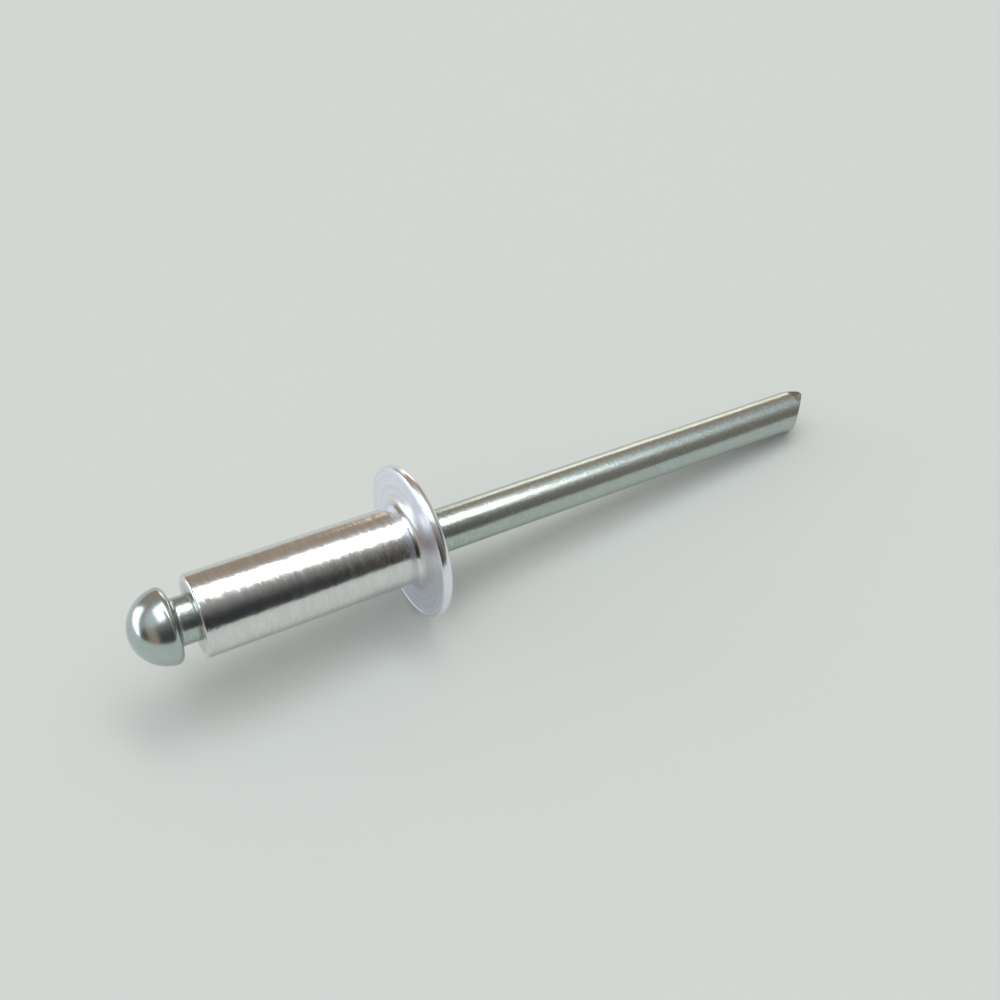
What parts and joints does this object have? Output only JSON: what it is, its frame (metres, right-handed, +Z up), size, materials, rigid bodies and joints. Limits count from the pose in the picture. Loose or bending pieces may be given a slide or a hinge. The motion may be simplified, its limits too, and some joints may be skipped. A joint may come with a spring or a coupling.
{
  "type": "pop rivet",
  "caption": "Open-end blind rivet, not yet set: a flanged hollow aluminium shank on a headed steel mandrel, lying at rest.",
  "frame": {"origin": "middle of the bounding box in X and Y, at the surface that the rivet lies on", "axes": "+X from the mandrel's head towards its cut tip, level; +Z up. The rivet's own axis slopes down towards the tip by 6.16 degrees, as it rests on the flange's rim and on the tip"},
  "size_m": [0.0468, 0.0094, 0.0094],
  "materials": {
    "rivet_body": "plain aluminium, drawn and bright, with fine lines round the shank and a softer flange",
    "mandrel": "bright zinc-plated steel with a faint blue-green tint, drawn along the stem"
  },
  "bodies": {
    "root": {"rivet_body": "rivet_body", "mandrel": "mandrel"}
  },
  "joints": []
}
